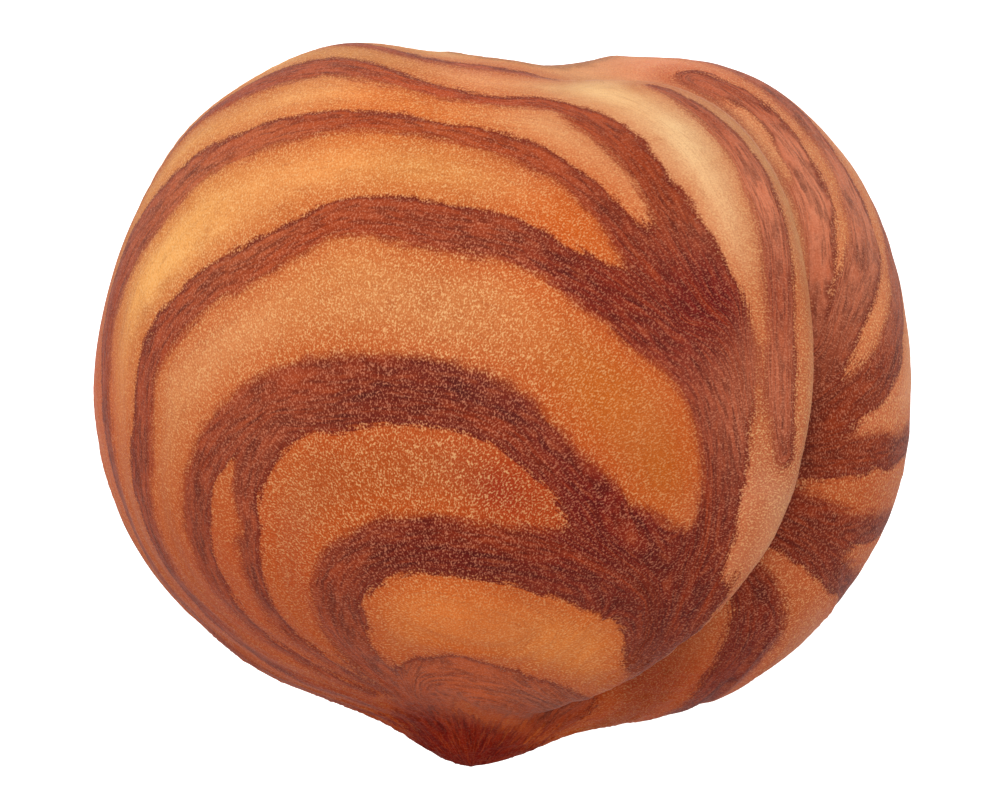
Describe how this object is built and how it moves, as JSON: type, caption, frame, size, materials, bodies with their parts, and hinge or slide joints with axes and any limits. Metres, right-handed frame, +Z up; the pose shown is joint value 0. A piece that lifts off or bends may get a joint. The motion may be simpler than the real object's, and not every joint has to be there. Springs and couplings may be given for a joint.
{
  "type": "hazelnut kernel",
  "caption": "Shelled hazelnut kernel in its striped brown skin, a pointed rounded seed that lies on its flank on a small flat spot.",
  "frame": {"origin": "middle of the flat resting spot on the kernel's flank", "axes": "+Y from the pointed tip towards the blunt base, +Z up through the kernel's thickness, square to the resting spot, +X across its width, towards the side with the deep seam"},
  "size_m": [0.0155, 0.0139, 0.0132],
  "materials": {
    "skin": "satin papery seed skin, tan ground with dark red-brown bands and pale flecks"
  },
  "bodies": {
    "root": {"kernel": "skin"}
  },
  "joints": []
}
